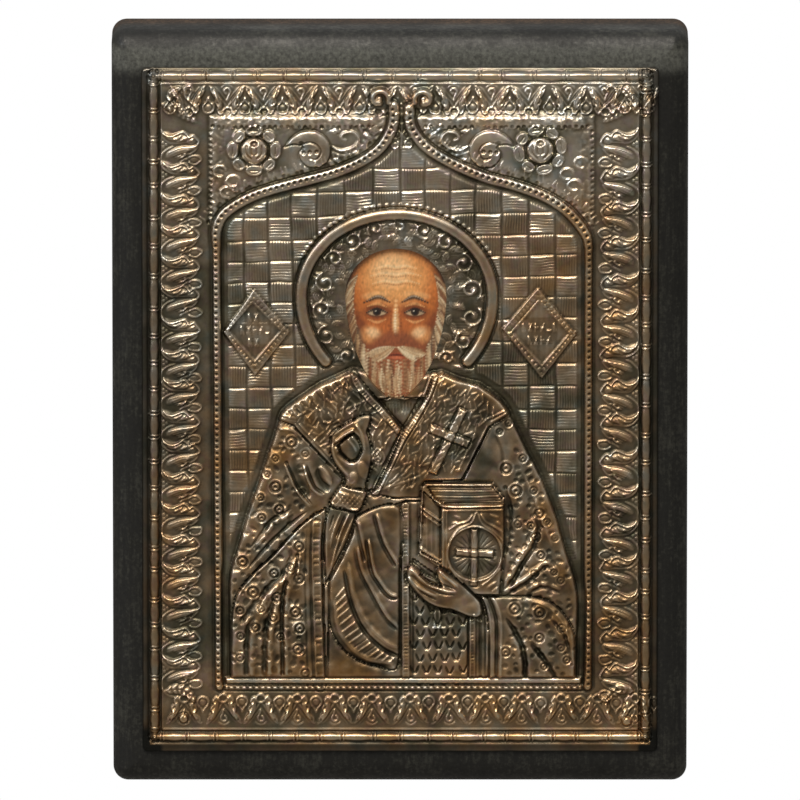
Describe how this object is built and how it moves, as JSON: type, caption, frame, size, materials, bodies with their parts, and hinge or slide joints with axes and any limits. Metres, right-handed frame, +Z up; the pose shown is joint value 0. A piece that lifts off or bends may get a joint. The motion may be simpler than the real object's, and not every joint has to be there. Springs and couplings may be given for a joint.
{
  "type": "icon panel",
  "caption": "Upright wooden board faced with an embossed silvered-metal cover; a window in the cover shows a painted head. Flat back for hanging on a wall.",
  "frame": {"origin": "centre of the board's flat back face, where it lies against the wall", "axes": "+Z up the panel, +X to the right as seen from the front, +Y into the wall, so the picture faces -Y"},
  "size_m": [0.2, 0.0321, 0.267],
  "materials": {
    "stained_wood": "near-black stained wood under a thin satin varnish, worn brown along the back edge of the top",
    "painted_panel": "egg-tempera style paint in warm ochres under a satin varnish",
    "silvered_metal": "embossed thin silvered copper alloy, bright on the high points, dark tarnish in the recesses, warmer towards the bottom"
  },
  "bodies": {
    "root": {"wooden_board": "stained_wood", "painted_picture": "painted_panel", "metal_cover": "silvered_metal"}
  },
  "joints": []
}
